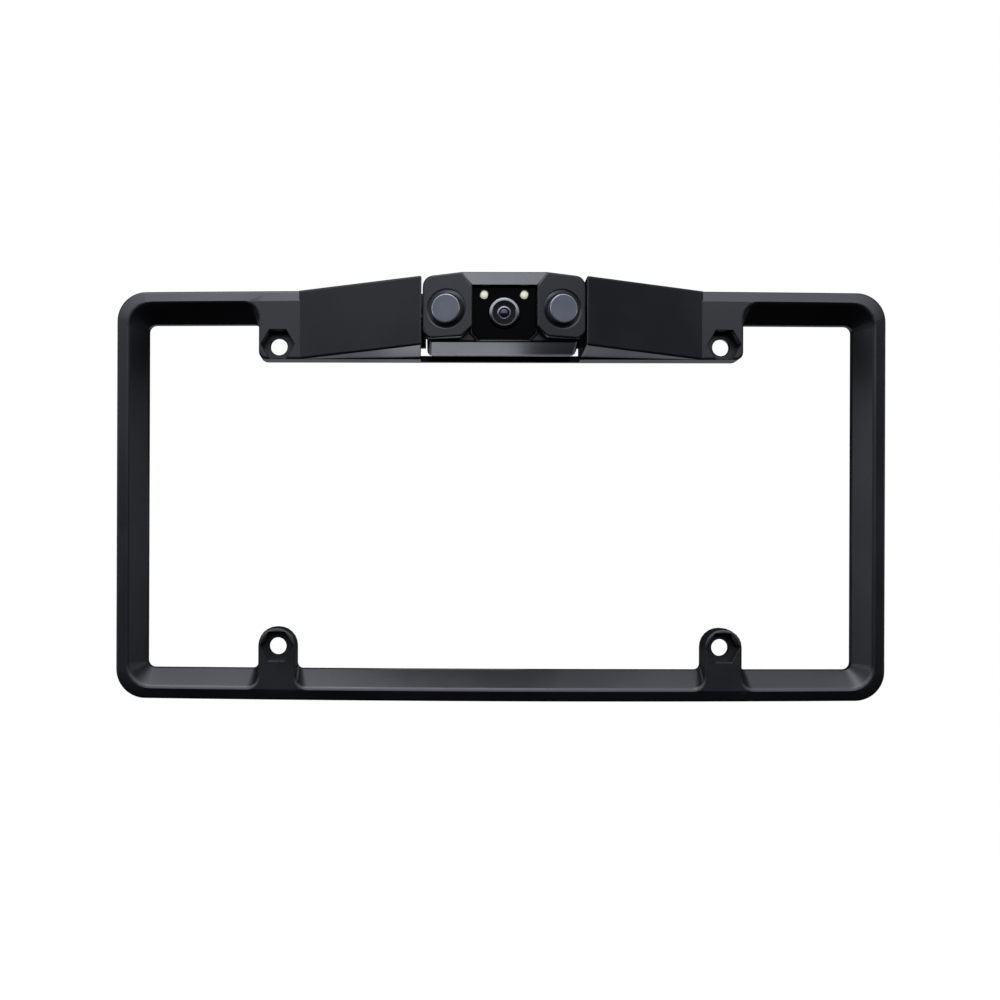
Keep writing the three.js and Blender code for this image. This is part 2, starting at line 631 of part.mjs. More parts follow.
for (const [name, side] of Object.entries(BOTH)) {
  const washerX = (side * (BARREL.halfLength + WING.inner)) / 2;
  add("friction_washer_" + name, frictionWasher(), FINISH.rubber, group, [washerX, -AXIS.depth, AXIS.z]);
  const pivotScrew = panScrew(PIVOT.screw, 9.3, 2.9, 2);
  pivotScrew.rotateZ(side * -Math.PI / 2);
  const headSeat = side * (WING.inner + WING.endWall + 0.2);
  add("pivot_screw_" + name, pivotScrew, FINISH.steel, cameraModule, [headSeat, 0, 0]);
  add("threaded_insert_" + name, insertSleeve(), FINISH.brass, cameraModule, [side * 26.8, 0, 0]);
  add("led_" + name, dome(LED.radius, 14.1, 18, 19, 16), FINISH.led, cameraModule, [side * LED.x, 0, LED.z]);
  add("sensor_lead_" + name, sensorLead(side), FINISH.lead);
  const plugX = side * 11;
  add("sensor_plug_" + name, block(plugX - 2, plugX + 2, -7.4, -5, 4.2, 6.8), FINISH.socket);
  const screwSeat = [side * BOARD.screwX, -(BOARD.front + 0.1), 0];
  const boardScrew = panScrew(1, 4.2, 2, 1.2).rotateX(Math.PI);
  add("board_screw_" + name, boardScrew, FINISH.steel, cameraModule, screwSeat);

  const sensor = new THREE.Group();
  sensor.position.set(side * SENSOR.x, -podFace(SENSOR.x), SENSOR.z);
  sensor.rotation.z = degrees(side * POD.yaw);
  cameraModule.add(sensor);
  add("sensor_cup_" + name, sensorCup(), FINISH.sensorFace, sensor);
  add("sensor_sleeve_" + name, sensorSleeve(), FINISH.rubber, sensor);
  const terminalBoard = turned([[0, -6.8], [4.4, -6.8], [4.4, -5.8], [0, -5.8]]);
  add("sensor_terminal_board_" + name, terminalBoard, FINISH.board, sensor);

  for (const [height, up] of [["upper", 1], ["lower", -1]]) {
    const place = [side * HOUSING_SCREW.x, -(HOUSING_SCREW.seat - 0.1), up * HOUSING_SCREW.z];
    const housingScrew = panScrew(1.2, 8.8, 2.1, 1.6);
    add("housing_screw_" + height + "_" + name, housingScrew, FINISH.steel, cameraModule, place);
  }
}

export default group;
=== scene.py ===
import math

import bmesh
import bpy
from mathutils import Matrix, Vector


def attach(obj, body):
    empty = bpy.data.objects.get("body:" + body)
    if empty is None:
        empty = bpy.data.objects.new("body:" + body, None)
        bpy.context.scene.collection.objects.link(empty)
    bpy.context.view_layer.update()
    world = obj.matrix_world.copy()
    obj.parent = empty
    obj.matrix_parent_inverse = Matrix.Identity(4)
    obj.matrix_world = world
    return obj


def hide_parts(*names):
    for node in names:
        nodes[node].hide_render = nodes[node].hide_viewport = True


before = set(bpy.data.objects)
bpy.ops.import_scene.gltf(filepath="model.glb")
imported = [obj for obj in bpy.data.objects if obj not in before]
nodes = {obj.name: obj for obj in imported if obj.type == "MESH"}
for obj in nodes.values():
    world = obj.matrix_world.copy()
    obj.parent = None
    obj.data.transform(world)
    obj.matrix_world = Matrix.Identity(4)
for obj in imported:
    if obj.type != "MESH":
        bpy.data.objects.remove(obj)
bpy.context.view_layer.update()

# ---------------------------------------------------------------------------
# Plate frame
# One injection moulding in black ABS: a land round the outside, a slope down
# to the plate, two bolt tabs, a top bar and two hollow wings. Bolts hold it.
# ---------------------------------------------------------------------------
MM = 0.001
bolt_x, bolt_z = 88.9, 60.325
frame_x, frame_z, frame_depth = 153.25, 81.1, 11.0
frame_corner, ridge_corner, opening_corner = 11.5, 9.5, 2.8
land_drop, land_round, land_slope = 0.9, 1.3, 4.2
ridge_x, ridge_z, ridge_round = 148.3, 76.4, 1.1
opening_x, opening_z, opening_depth = 141.4, 68.9, 3.0
bow, bow_from, bow_blend = 0.9, 62, 15
tab_half, boss_radius = 7.9, 8.3
rib_half, rib_floor = 0.8, 0.6
bar_x, bar_bottom = 96.4, 54.3
wing_outer, wing_inner, wing_depth = 80.0, 31.8, 34.8
wing_bottom, wing_top, wing_root_top = 56.7, 83.5, 81.75
wall, bay_wall = 2.3, 2.5
bay_top, rail_top, flange_inner = 78.6, 56.8, 29.6
axis_depth, axis_z, pivot_hole = 17.0, 69.8, 1.75
fillet_steps = 6


def point(x, depth, z):
    """A place in the frame's axes from millimetres: right, forward of the plate, up."""
    return Vector((x, -depth, z)) * MM


def arc_points(corners, steps=fillet_steps, splits=1):
    """A closed outline, anticlockwise, from corners given as (x, z, radius)."""
    fillets = []
    for i, (x, z, radius) in enumerate(corners):
        here = Vector((x, z))
        back = (Vector(corners[i - 1][:2]) - here).normalized()
        ahead = (Vector(corners[(i + 1) % len(corners)][:2]) - here).normalized()
        half = back.angle(ahead) / 2
        centre = here + (back + ahead).normalized() * (radius / math.sin(half))
        first = here + back * (radius / math.tan(half)) - centre
        turn = math.pi - 2 * half
        if back.x * ahead.y - back.y * ahead.x > 0:
            turn = -turn
        turns = [Matrix.Rotation(turn * k / steps, 2) for k in range(steps + 1)]
        fillets.append([centre + part @ first for part in turns])
    outline = []
    for i, fillet in enumerate(fillets):
        following = fillets[(i + 1) % len(fillets)]
        outline += fillet
        outline += [fillet[-1].lerp(following[0], k / splits) for k in range(1, splits)]
    return outline


def grown(corners, distance):
    """The same corners with every edge moved outward; fillets keep their centres."""
    moved = []
    for i, (x, z, radius) in enumerate(corners):
        here = Vector((x, z))
        into = (here - Vector(corners[i - 1][:2])).normalized()
        out = (Vector(corners[(i + 1) % len(corners)][:2]) - here).normalized()
        n1 = Vector((into.y, -into.x))
        n2 = Vector((out.y, -out.x))
        shift = (n1 + n2) * (distance / (1 + n1.dot(n2)))
        outward = into.x * out.y - into.y * out.x > 0
        new_radius = radius + distance if outward else radius - distance
        moved.append((x + shift.x, z + shift.y, max(new_radius, 0.05)))
    return moved


def box_corners(x0, x1, z0, z1, radius):
    """The four corners of an upright rectangle."""
    return [(x1, z0, radius), (x1, z1, radius), (x0, z1, radius), (x0, z0, radius)]


def rounding(radius, steps=fillet_steps):
    """(inset, setback) pairs round a quarter of an edge, from its side to its face."""
    quarter = [math.pi / 2 * k / steps for k in range(steps + 1)]
    return [(radius * (1 - math.cos(a)), radius * (1 - math.sin(a))) for a in quarter]


def loft(name, rings):
    """A closed mesh through rings of equal count, capped flat at both ends."""
    mesh = bpy.data.meshes.new(name)
    count = len(rings[0])
    faces = [tuple(range(count - 1, -1, -1))]
    for r in range(len(rings) - 1):
        for i in range(count):
            j = (i + 1) % count
            low, high = r * count, (r + 1) * count
            faces.append((low + i, low + j, high + j, high + i))
    faces.append(tuple(range((len(rings) - 1) * count, len(rings) * count)))
    mesh.from_pydata([p for ring in rings for p in ring], [], faces)
    tidy = bmesh.new()
    tidy.from_mesh(mesh)
    bmesh.ops.remove_doubles(tidy, verts=tidy.verts, dist=1e-7)
    bmesh.ops.recalc_face_normals(tidy, faces=tidy.faces)
    tidy.to_mesh(mesh)
    tidy.free()
    made = bpy.data.objects.new(name, mesh)
    bpy.context.scene.collection.objects.link(made)
    return made


def stacked(name, corners, levels, steps=fillet_steps, splits=1, bend=lambda p: p):
    """A loft that stands forward: levels are (depth, growth of the outline)."""
    rings = []
    for depth, growth in levels:
        outline = [bend(p) for p in arc_points(grown(corners, growth), steps, splits)]
        rings.append([point(p.x, depth, p.y) for p in outline])
    return loft(name, rings)


def combine(base, *tools, operation="DIFFERENCE"):
    """Joins to, or cuts from, base each tool in turn, and uses the tools up."""
    for tool in tools:
        step = base.modifiers.new("combine", "BOOLEAN")
        step.operation = operation
        step.solver = "EXACT"
        step.object = tool
        depsgraph = bpy.context.evaluated_depsgraph_get()
        mesh = bpy.data.meshes.new_from_object(base.evaluated_get(depsgraph))
        base.modifiers.clear()
        old = base.data
        base.data = mesh
        bpy.data.meshes.remove(old)
        bpy.data.objects.remove(tool)
    return base


def brick(x0, x1, d0, d1, z0, z1):
    """A straight block between limits in x, depth and z."""
    outline = [(x1, z0), (x1, z1), (x0, z1), (x0, z0)]
    return loft("brick", [[point(x, d, z) for x, z in outline] for d in (d0, d1)])


def disc_stack(name, x, z, levels, sides=48):
    """A turned solid facing forward: levels are (radius, depth)."""
    rings = []
    for radius, depth in levels:
        angles = [2 * math.pi * k / sides for k in range(sides)]
        places = [(x + radius * math.cos(a), z + radius * math.sin(a)) for a in angles]
        rings.append([point(across, depth, up) for across, up in places])
    return loft(name, rings)


def bowed(p):
    """The long edges swell a little towards the middle."""
    share = min(max((abs(p.y) - bow_from) / bow_blend, 0), 1)
    swell = bow * share * (1 - (p.x / frame_x) ** 2)
    return Vector((p.x, p.y + math.copysign(swell, p.y)))


def window_corners(x, z, half, root, corner, bar_root):
    """The plate opening as it passes the two tabs, each twice half wide, and the top bar."""
    head, bar_end = half * 0.96, 3.0
    corners = [(-x, -z, corner)]
    for tab in (-bolt_x, bolt_x):
        corners += [(tab - half, -z, root), (tab - half, -bolt_z + half, head)]
        corners += [(tab + half, -bolt_z + half, head), (tab + half, -z, root)]
    corners += [(x, -z, corner), (x, z, corner), (bar_x, z, bar_root)]
    corners += [(bar_x, bar_bottom, bar_end), (-bar_x, bar_bottom, bar_end)]
    return corners + [(-bar_x, z, bar_root), (-x, z, corner)]


def window_cutter():
    """The opening: straight at the plate, then a slope out to a softly rounded ridge."""
    rear = window_corners(opening_x, opening_z, tab_half, 2.2, opening_corner, 2.0)
    front = window_corners(ridge_x, ridge_z, 7.3, 5.0, ridge_corner, 6.5)
    levels = [(-1, 0, 0), (opening_depth - 0.5, 0, 0), (opening_depth + 0.4, 0.04, 0)]
    slope_run, across, down, round_steps = 7.1, 0.67, 0.74, 8
    for k in range(round_steps + 1):
        t = k / round_steps
        out = -ridge_round * across * (1 - t) ** 2 + ridge_round * t ** 2
        depth = frame_depth - ridge_round * down * (1 - t) ** 2
        levels.append((depth, 1 + min(out, 0) / slope_run, max(out, 0)))
    levels.append((frame_depth + 3, 1, ridge_round))
    rings = []
    for depth, mix, growth in levels:
        a = arc_points(rear, splits=4)
        b = arc_points(grown(front, growth), splits=4)
        outline = [bowed(p.lerp(q, mix)) for p, q in zip(a, b)]
        rings.append([point(p.x, depth, p.y) for p in outline])
    return loft("window_cutter", rings)


def frame_blank():
    """The outside of the frame: a land that falls a little to a rounded outer edge."""
    corners = box_corners(-frame_x, frame_x, -frame_z, frame_z, frame_corner)
    face = frame_depth - land_drop
    levels = [(0, -0.4), (0.4, 0)]
    levels += [(face - back, -inset) for inset, back in rounding(land_round)]
    levels += [(frame_depth, -land_slope)]
    return stacked("plate_frame_shell", corners, levels, steps=14, splits=12, bend=bowed)


def wing_solid(side, inset):
    """A wing, or its hollow when inset: a swept box with rounded long edges and end."""
    overlap, end_round = 0.4, 0.7
    slope = (wing_depth - frame_depth) / (wing_outer - wing_inner)

    def section(x, shrink):
        depth = frame_depth + (wing_outer - x) * slope - inset * 1.1
        share = (wing_outer - x) / (wing_outer - wing_inner)
        low = bar_bottom + (wing_bottom - bar_bottom) * share + inset
        high = wing_root_top + (wing_top - wing_root_top) * share - inset
        back = 0.3 if not inset else -inset
        floor = bar_bottom - 0.04 + inset
        corners = [(back, wing_root_top - inset, 0.3), (back, floor, 0.3)]
        corners += [(depth, low, 0.9), (depth, high, 0.9)]
        outline = arc_points(grown(corners, -shrink), steps=5)
        return [point(side * x, p.x, p.y) for p in outline]

    if inset:
        ends = (wing_inner + bay_wall, wing_outer + overlap)
        return loft("wing_hollow", [section(x, 0) for x in ends])
    rings = [section(wing_inner + back, shrink) for shrink, back in reversed(rounding(end_round))]
    return loft("wing", rings + [section(wing_outer + overlap, 0)])


def frame_hollow():
    """The space behind the mouldings, less the bolt bosses and the ribs."""
    rear = box_corners(-opening_x, opening_x, -opening_z, opening_z, opening_corner)
    front = box_corners(-ridge_x, ridge_x, -ridge_z, ridge_z, ridge_corner)
    outer = box_corners(-frame_x, frame_x, -frame_z, frame_z, frame_corner)
    channel_levels = [(-1, 0), (frame_depth - wall - 0.4, 0)]
    channel = stacked("hollow", grown(outer, -wall), channel_levels, 8, 12, bowed)
    rings = []
    slope_levels = ((-2, rear, wall), (1.4, rear, 1.7), (9.4, front, 1.7), (12, front, 3.5))
    for depth, corners, growth in slope_levels:
        outline = [bowed(p) for p in arc_points(grown(corners, growth), 8, 12)]
        rings.append([point(p.x, depth, p.y) for p in outline])
    bay = wing_inner + bay_wall
    hollow = combine(channel, loft("core", rings), brick(-bay, bay, -3, 20, 50, 90))
    for side in (-1, 1):
        x0, x1 = sorted((side * (wing_outer - 0.5), side * (bar_x - wall)))
        wing_cell = wing_solid(side, wall)
        bar_cell = brick(x0, x1, -1, frame_depth - wall, bar_bottom + wall, frame_z - wall)
        combine(hollow, wing_cell, bar_cell, operation="UNION")

    def upright_rib(x, depth, low, high):
        combine(hollow, brick(x - rib_half, x + rib_half, depth, 40, low, high))

    for side in (-1, 1):
        for up in (-1, 1):
            levels = [(boss_radius, -3), (boss_radius, 40)]
            combine(hollow, disc_stack("boss", side * bolt_x, up * bolt_z, levels))
        tab = side * bolt_x
        combine(hollow, brick(tab - tab_half, tab + tab_half, -3, 40, -90, -bolt_z))
        for x in (40, 120):
            upright_rib(side * x, rib_floor, -90, -60)
        upright_rib(side * 120, rib_floor, 60, 90)
        for z in (-34, 0, 34):
            x0, x1 = sorted((side * 138, side * 156))
            combine(hollow, brick(x0, x1, rib_floor, 40, z - rib_half, z + rib_half))
        for x in (48, 64):
            upright_rib(side * x, 5, 50, 90)
    return hollow


def bolt_cutters(x, z):
    """A through hole and the hexagonal pocket that holds the bolt's head still."""
    hole_radius, flats, seat, rim = 3.4, 11.4, 3.0, 0.3
    levels = [(hole_radius + 0.35, -1), (hole_radius, 0.35), (hole_radius, seat - 0.3)]
    levels += [(hole_radius + 0.25, seat), (hole_radius + 0.25, seat + 0.4)]
    hole = disc_stack("hole", x, z, levels)
    reach = flats / 2 / math.cos(math.radians(30))
    corners = []
    for k in range(6):
        angle = math.radians(60 * k)
        corners.append((x + reach * math.cos(angle), z + reach * math.sin(angle), 0.5))
    levels = [(seat, 0), (frame_depth - rim, 0), (frame_depth + 0.02, rim), (frame_depth + 4, rim)]
    return hole, stacked("pocket", corners, levels, steps=3)


shell = combine(frame_blank(), window_cutter())
for side in (-1, 1):
    combine(shell, wing_solid(side, 0), operation="UNION")
bay_cuts = [
    brick(-wing_inner, wing_inner, 2.2, 60, rail_top, 95),
    brick(-wing_inner, wing_inner, -1, 60, rail_top, 60),
    brick(-flange_inner, flange_inner, -1, 60, rail_top, bay_top),
    brick(-wing_inner, wing_inner, 2.5, 60, rail_top, bay_top),
    brick(-wing_inner, wing_inner, 2.5, 60, 40, 60),
]
combine(shell, *bay_cuts)
combine(shell, frame_hollow())
for bolt in [(sx * bolt_x, sz * bolt_z) for sx in (-1, 1) for sz in (-1, 1)]:
    combine(shell, *bolt_cutters(*bolt))


def rod_across(name, x0, x1, levels, sides=48):
    """A turned solid along the tilt axis: levels are (share from x0 to x1, radius)."""
    rings = []
    for share, radius in levels:
        x = x0 + (x1 - x0) * share
        angles = [2 * math.pi * k / sides for k in range(sides)]
        places = [(radius * math.cos(a), radius * math.sin(a)) for a in angles]
        rings.append([point(x, axis_depth + ahead, axis_z + up) for ahead, up in places])
    return loft(name, rings)


for side in (-1, 1):
    x0, x1 = side * (wing_inner - 1), side * (wing_inner + 4)
    combine(shell, rod_across("pivot_hole", x0, x1, [(0, pivot_hole), (1, pivot_hole)]))


def shade(piece, angle=32.0):
    """Smooth faces with crisp edges above the angle, and flat faces kept truly flat."""
    piece.data.polygons.foreach_set("use_smooth", [True] * len(piece.data.polygons))
    piece.data.set_sharp_from_angle(angle=math.radians(angle))
    broad_face, least_turn = 15 * MM * MM, math.radians(4)
    mesh = bmesh.new()
    mesh.from_mesh(piece.data)
    for edge in mesh.edges:
        broad = all(face.calc_area() > broad_face for face in edge.link_faces)
        if broad and edge.calc_face_angle(0) > least_turn:
            edge.smooth = False
    mesh.to_mesh(piece.data)
    mesh.free()
    weighted = piece.modifiers.new("flat_faces", "WEIGHTED_NORMAL")
    weighted.keep_sharp = True
    weighted.weight = 80
    return piece


class Wire:
    """A value, colour or direction in a finish; arithmetic on values adds Math nodes."""

    def __init__(self, finish, socket):
        self.finish = finish
        self.socket = socket

    def _maths(self, operation, *terms):
        settings = {"operation": operation}
        return self.finish.node("ShaderNodeMath", settings, dict(enumerate(terms)))

    def __add__(self, other):
        return self._maths("ADD", self, other)

    __radd__ = __add__

    def __sub__(self, other):
        return self._maths("SUBTRACT", self, other)

    def __rsub__(self, other):
        return self._maths("SUBTRACT", other, self)

    def __mul__(self, other):
        return self._maths("MULTIPLY", self, other)

    __rmul__ = __mul__

    def between(self, low, high):
        """0 below low, 1 above high and a soft step between."""
        settings = {"interpolation_type": "SMOOTHSTEP"}
        return self.finish.node("ShaderNodeMapRange", settings, {"Value": self, 1: low, 2: high})


class Finish:
    """A material, or the surround, built from procedural nodes."""

    def __init__(self, name, tree=None):
        if tree is None:
            self.material = bpy.data.materials.new(name)
            self.material.use_nodes = True
            tree = self.material.node_tree
            self.shader = tree.nodes["Principled BSDF"]
        self.tree = tree

    def node(self, kind, settings=None, sockets=None, output=0):
        made = self.tree.nodes.new(kind)
        for key, value in (settings or {}).items():
            setattr(made, key, value)
        self.plug(made, sockets or {})
        return Wire(self, made.outputs[output])

    def plug(self, node, sockets):
        for key, value in sockets.items():
            if isinstance(value, Wire):
                self.tree.links.new(value.socket, node.inputs[key])
            else:
                node.inputs[key].default_value = value

    def mix(self, share, first, second):
        sockets = {0: share, 6: first, 7: second}
        return self.node("ShaderNodeMix", {"data_type": "RGBA"}, sockets, 2)

    def place(self):
        return self.node("ShaderNodeTexCoord", output=3)

    def noise(self, size, detail=2.0, roughness=0.5):
        """Cloudy values about 0.5, with features of the given size in millimetres."""
        sockets = {"Vector": self.place(), "Scale": 1000 / size}
        sockets |= {"Detail": detail, "Roughness": roughness}
        return self.node("ShaderNodeTexNoise", None, sockets)

    def relief(self, height, depth):
        """Bumps of the given depth in millimetres."""
        sockets = {"Height": height, "Distance": depth * MM, "Strength": 1.0}
        return self.node("ShaderNodeBump", None, sockets)

    def surface(self, **sockets):
        named = {key.replace("_", " "): value for key, value in sockets.items()}
        self.plug(self.shader, named)
        return self

    def on(self, *pieces):
        for piece in pieces:
            piece.data.materials.clear()
            piece.data.materials.append(self.material)


def grey(level, blue=1.0):
    return (level, level, level * blue, 1.0)


def moulded(name, level, blue, roughness, grain=0.4):
    """Satin black plastic from a fine eroded mould: faint flow clouds and an even grain."""
    made = Finish(name)
    grain_depth = 0.012
    cloud = made.noise(28, 3)
    streak = made.noise(7, 4, 0.6)
    grains = made.noise(grain, 3, 0.65)
    darker, lighter = grey(level * 0.86, blue), grey(level * 1.16, blue)
    tint = made.mix(cloud.between(0.3, 0.7), darker, lighter)
    rough = roughness - 0.03 + 0.05 * cloud.between(0.35, 0.7) + 0.03 * streak
    bump = made.relief(grains + 0.5 * made.noise(1.7, 2), grain_depth)
    return made.surface(Base_Color=tint, Roughness=rough, Normal=bump, IOR=1.5)


frame_finish = moulded("frame_plastic", 0.0045, 1.12, 0.3)
frame_finish.on(shell)

shade(shell, 22)
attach(shell, "frame_body")
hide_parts("plate_frame")

# ---------------------------------------------------------------------------
# Friction washers
# Two rubber rings between the module and the bay's end walls. They hold the
# tilt that the installer sets.
# ---------------------------------------------------------------------------
crease = math.radians(32)


def carried(finish, width, *names):
    """Parts kept from the model: softened edges and a finish of their own."""
    for name in names:
        node = nodes[name]
        node.data.polygons.foreach_set("use_smooth", [True] * len(node.data.polygons))
        node.data.set_sharp_from_angle(angle=crease)
        if width:
            edge = node.modifiers.new("soft_edge", "BEVEL")
            edge.width = width * MM
            edge.segments = 2
            edge.limit_method = "ANGLE"
            edge.angle_limit = crease
            edge.harden_normals = True
        finish.on(node)


def rubber(name, level, size):
    """Dull black rubber with a fine skin and a little dust."""
    made = Finish(name)
    dust = made.noise(size * 6, 4, 0.6)
    skin = made.noise(size, 3, 0.6)
    tint = made.mix(dust.between(0.45, 0.75), grey(level), grey(level * 1.9, 1.04))
    rough = 0.6 + 0.25 * dust
    bump = made.relief(skin, 0.03)
    return made.surface(Base_Color=tint, Roughness=rough, Normal=bump, IOR=1.5)


washer_rubber = rubber("washer_rubber", 0.012, 0.5)
carried(washer_rubber, 0.12, "friction_washer_left", "friction_washer_right")

# ---------------------------------------------------------------------------
# Rear housing
# The back half of the barrel, moulded in the same black plastic. Four screws
# from behind pull it on to the front half, and the cable leaves through it.
# ---------------------------------------------------------------------------
barrel_radius, barrel_half, barrel_wall = 14.8, 29.25, 2.0
split = axis_depth - 4.0
screw_x, screw_z, screw_seat = 22.0, 10.2, axis_depth - 6.3
screw_boss, head_recess, shank_hole = 2.9, 2.4, 1.45
grommet_x, grommet_hole = 22.5, 3.2


def barrel(radius, half, edge):
    """A lying cylinder about the tilt axis with rounded ends."""
    steps = rounding(edge, 5)
    levels = [((half - back) / (2 * half), radius - inset) for inset, back in steps]
    ends = [(0.5 + share, r) for share, r in levels]
    starts = [(0.5 - share, r) for share, r in reversed(levels)]
    return rod_across("barrel", -half, half, starts + ends, 96)


def barrel_hollow():
    """The room inside the barrel."""
    return barrel(barrel_radius - barrel_wall, barrel_half - barrel_wall, 0.5)


def barrel_blank():
    """The barrel before it is cut into its two halves."""
    return combine(barrel(barrel_radius, barrel_half, 2.0), barrel_hollow())


def hole(x, z, levels):
    """A turned cutter, with z from the tilt axis."""
    return disc_stack("hole", x, axis_z + z, levels, 32)


rear = combine(barrel_blank(), brick(-40, 40, split - 0.05, 60, 40, 100))
screws = [(sx * screw_x, sz * screw_z) for sx in (-1, 1) for sz in (-1, 1)]
for x, z in screws:
    boss = hole(x, z, [(screw_boss, 3), (screw_boss, split - 0.05)])
    trim = barrel(barrel_radius - 0.4, barrel_half - 0.4, 1.8)
    combine(boss, trim, operation="INTERSECT")
    combine(rear, boss, operation="UNION")
for x, z in screws:
    recess = [(head_recess + 0.35, -3), (head_recess + 0.35, 5.0), (head_recess, 5.4)]
    shank = [(head_recess, screw_seat), (shank_hole, screw_seat), (shank_hole, 20)]
    combine(rear, hole(x, z, recess + shank))
rim = axis_depth - barrel_radius
mouth = grommet_hole + 0.5
outlet = [(mouth, rim - 2), (mouth, rim), (grommet_hole, rim + 0.5), (grommet_hole, 9)]
combine(rear, hole(grommet_x, 0, outlet))
rear.name = rear.data.name = "rear_housing_shell"
shade(rear)
housing_finish = moulded("housing_plastic", 0.006, 1.15, 0.29, 0.35)
housing_finish.on(rear)
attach(rear, "camera_module")
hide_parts("rear_housing")

# ---------------------------------------------------------------------------
# Screws and threaded inserts
# Zinc-plated steel pan heads. Four close the housing from behind, two hold the
# main board, and one at each end is the pivot, in a knurled brass insert.
# ---------------------------------------------------------------------------
plated = Finish("plated_steel")
turning = plated.noise(0.25, 2, 0.5)
tarnish = plated.noise(3, 4, 0.6)
plated.surface(
    Base_Color=plated.mix(tarnish.between(0.4, 0.8), (0.62, 0.62, 0.6, 1), (0.42, 0.41, 0.38, 1)),
    Roughness=0.26 + 0.2 * tarnish,
    Normal=plated.relief(turning, 0.006),
    Metallic=1.0,
)
for side in ("left", "right"):
    heads = ("housing_screw_upper_", "housing_screw_lower_", "pivot_screw_", "board_screw_")
    carried(plated, 0.1, *[head + side for head in heads])

brass = Finish("insert_brass")
knurl = brass.noise(0.6, 2, 0.4)
brass.surface(
    Base_Color=brass.mix(knurl.between(0.3, 0.7), (0.6, 0.42, 0.17, 1), (0.72, 0.52, 0.24, 1)),
    Roughness=0.28 + 0.15 * knurl,
    Normal=brass.relief(knurl, 0.03),
    Metallic=1.0,
)
carried(brass, 0.08, "threaded_insert_left", "threaded_insert_right")

# ---------------------------------------------------------------------------
# Cable grommet and housing seal
# Soft black rubber. The grommet plugs the cable hole, and the seal is a ring
# squeezed between the two halves of the housing.
# ---------------------------------------------------------------------------
seal_rubber = rubber("seal_rubber", 0.015, 0.8)
carried(seal_rubber, 0.15, "cable_grommet", "housing_seal")

# ---------------------------------------------------------------------------
# Front housing
# The front half of the barrel, with a block for the camera, a brow over it, a
# chin below and a pod for each sensor, turned outward. One black moulding.
# ---------------------------------------------------------------------------
pod_inner, pod_outer, pod_front, pod_yaw = 12.4, 31.3, axis_depth + 22.0, 13.0
pod_back = axis_depth + 5.2
nose_front, window_depth = axis_depth + 16.4, axis_depth + 18.6
lens_z, lens_radius = axis_z - 0.9, 5.8
led_x, led_z, led_radius = 7.7, axis_z + 6.2, 1.55
sensor_x, sensor_z, cup_radius, cup_proud, bore = 22.35, axis_z + 0.5, 5.5, 1.6, 6.8
dish_rim, dish_floor, dish_depth, dish_lip = 7.5, 6.0, 1.0, 1.4


def pod_face(x):
    """How far forward a pod's slanted face is."""
    return pod_front - (abs(x) - pod_inner) * math.tan(math.radians(pod_yaw))


def pod(side):
    """Straight behind, then a rounded edge round its slanted face."""
    soft = 0.7

    def ring(outer, growth, depth):
        top, bottom = axis_z + 13.25, axis_z - 10.8
        corners = [(outer, bottom, 4.0), (outer, top, 4.0), (16.4, axis_z + 14.45, 0.3)]
        corners += [(pod_inner, axis_z + 9.2, 0.9), (pod_inner, axis_z - 6.5, 1.4)]
        corners += [(16.3, axis_z - 10.2, 2.4)]
        outline = arc_points(grown(corners, growth))
        return [point(side * p.x, depth(p.x), p.y) for p in outline]

    rings = [ring(barrel_half, 0, lambda x: pod_back)]
    rings.append(ring(pod_outer, 0, lambda x: pod_back + 4))
    for inset, back in rounding(soft, 5):
        rings.append(ring(pod_outer, -inset, lambda x: pod_face(x) - back))
    return loft("pod", rings)


def brow():
    """The sloped facet over the window, between the pods."""
    top, foot, soft = axis_z + 14.8, axis_z + 9.2, 0.35
    top_half, foot_half, slope = 17.1, 12.5, 0.55

    def ring(growth, back):
        corners = [(foot_half, foot, 0.3), (top_half, top, 0.3)]
        corners += [(-top_half, top, 0.3), (-foot_half, foot, 0.3)]
        outline = arc_points(grown(corners, growth))
        return [point(p.x, pod_front - slope * (p.y - foot) - back, p.y) for p in outline]

    behind = [[Vector((p.x, -14 * MM, p.z)) for p in ring(0, 0)]]
    return loft("brow", behind + [ring(-inset, back) for inset, back in rounding(soft, 5)])


def cut_corners(foot, half, low, shoulder, top, radius):
    """An upright outline whose lower corners are cut; foot is half its bottom edge."""
    right = [(foot, low, radius), (half, shoulder, radius), (half, top, radius)]
    return right + [(-x, z, r) for x, z, r in reversed(right)]


def nose():
    """The block that holds the window, with its lower corners cut back beside the pane."""
    corners = cut_corners(10.4, 13.2, axis_z - 11.3, axis_z - 8.4, axis_z + 13.5, 0.8)
    rings = []
    for inset, back in rounding(0.4, 4):
        outline = arc_points(grown(corners, -inset))
        rings.append([point(p.x, nose_front - back, p.y) for p in outline])
    behind = [[Vector((q.x, -20 * MM, q.z)) for q in rings[0]]]
    return loft("nose", behind + rings)


def chin():
    """The sloped underside from the block's front down to the barrel, the whole width."""
    half, edge = 28.8, 1.4
    front, low = nose_front - 1.1, axis_z - 11.3

    def section(x, shrink):
        corners = [(axis_depth, axis_z, 0.5), (axis_depth + 3.4, axis_z - 14.35, 0.3)]
        corners += [(front, low - 0.25, 0.9), (front, axis_z, 0.5)]
        return [point(x, p.x, p.y) for p in arc_points(grown(corners, -shrink))]

    ends = rounding(edge, 5)
    rings = [section(-half + back, inset) for inset, back in reversed(ends)]
    return loft("chin", rings + [section(half - back, inset) for inset, back in ends])


def toward_sensor(piece, side):
    """Moves a solid made round the origin to the middle of a sensor, facing along its pod."""
    turn = Matrix.Rotation(math.radians(side * pod_yaw), 4, "Z")
    place = Matrix.Translation(point(side * sensor_x, pod_face(sensor_x), sensor_z))
    piece.data.transform(place @ turn)
    return piece


